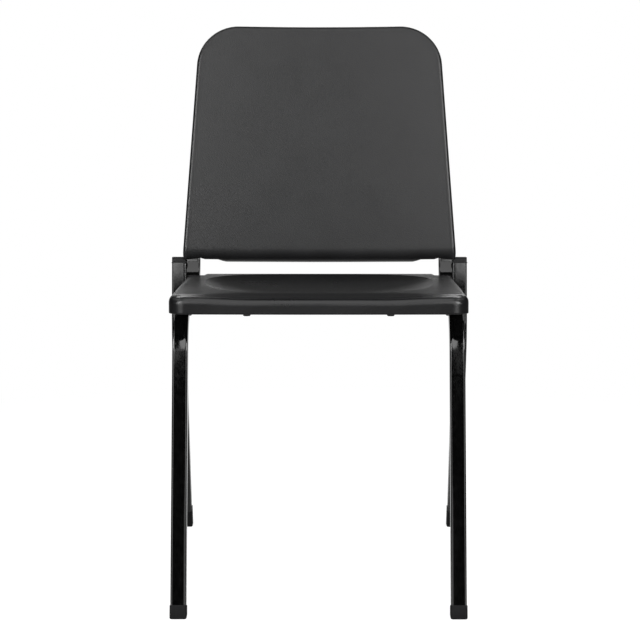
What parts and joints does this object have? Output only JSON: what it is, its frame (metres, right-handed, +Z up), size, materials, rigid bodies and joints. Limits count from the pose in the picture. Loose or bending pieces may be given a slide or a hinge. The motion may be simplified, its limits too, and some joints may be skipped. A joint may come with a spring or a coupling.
{
  "type": "stacking chair",
  "caption": "Stacking chair with a square tube frame, a moulded seat pan with a shallow bowl, and a tall reclined back shell between welded uprights.",
  "frame": {"origin": "on the floor, at the centre of the chair's bounding box", "axes": "+X to the right as seen from the front, +Y from the front to the rear, +Z up"},
  "size_m": [0.466, 0.5638, 0.8165],
  "materials": {
    "seat plastic": "fine grain, satin",
    "back plastic": "fine grain, matt",
    "cover plastic": "fine grain, matt",
    "frame steel": "gloss black powder coat",
    "cap nylon": "satin",
    "zinc steel": "bright zinc plate",
    "bumper rubber": "matt"
  },
  "bodies": {
    "root": {"seat_shell": "seat plastic", "back_shell": "back plastic", "back_cover": "cover plastic", "left_main_tube": "frame steel", "right_main_tube": "frame steel", "left_rear_leg": "frame steel", "right_rear_leg": "frame steel", "front_cross_tube": "frame steel", "rear_cross_tube": "frame steel", "cross_tube_welds": "frame steel", "left_post_weld": "frame steel", "right_post_weld": "frame steel", "front_left_foot_cap": "cap nylon", "front_right_foot_cap": "cap nylon", "rear_left_foot_cap": "cap nylon", "rear_right_foot_cap": "cap nylon", "left_post_plug": "cap nylon", "right_post_plug": "cap nylon", "left_upright_plug": "cap nylon", "right_upright_plug": "cap nylon", "seat_screws": "zinc steel", "seat_washers": "zinc steel", "back_screws": "zinc steel", "back_washers": "zinc steel", "left_stack_bumper": "bumper rubber", "right_stack_bumper": "bumper rubber"}
  },
  "joints": []
}
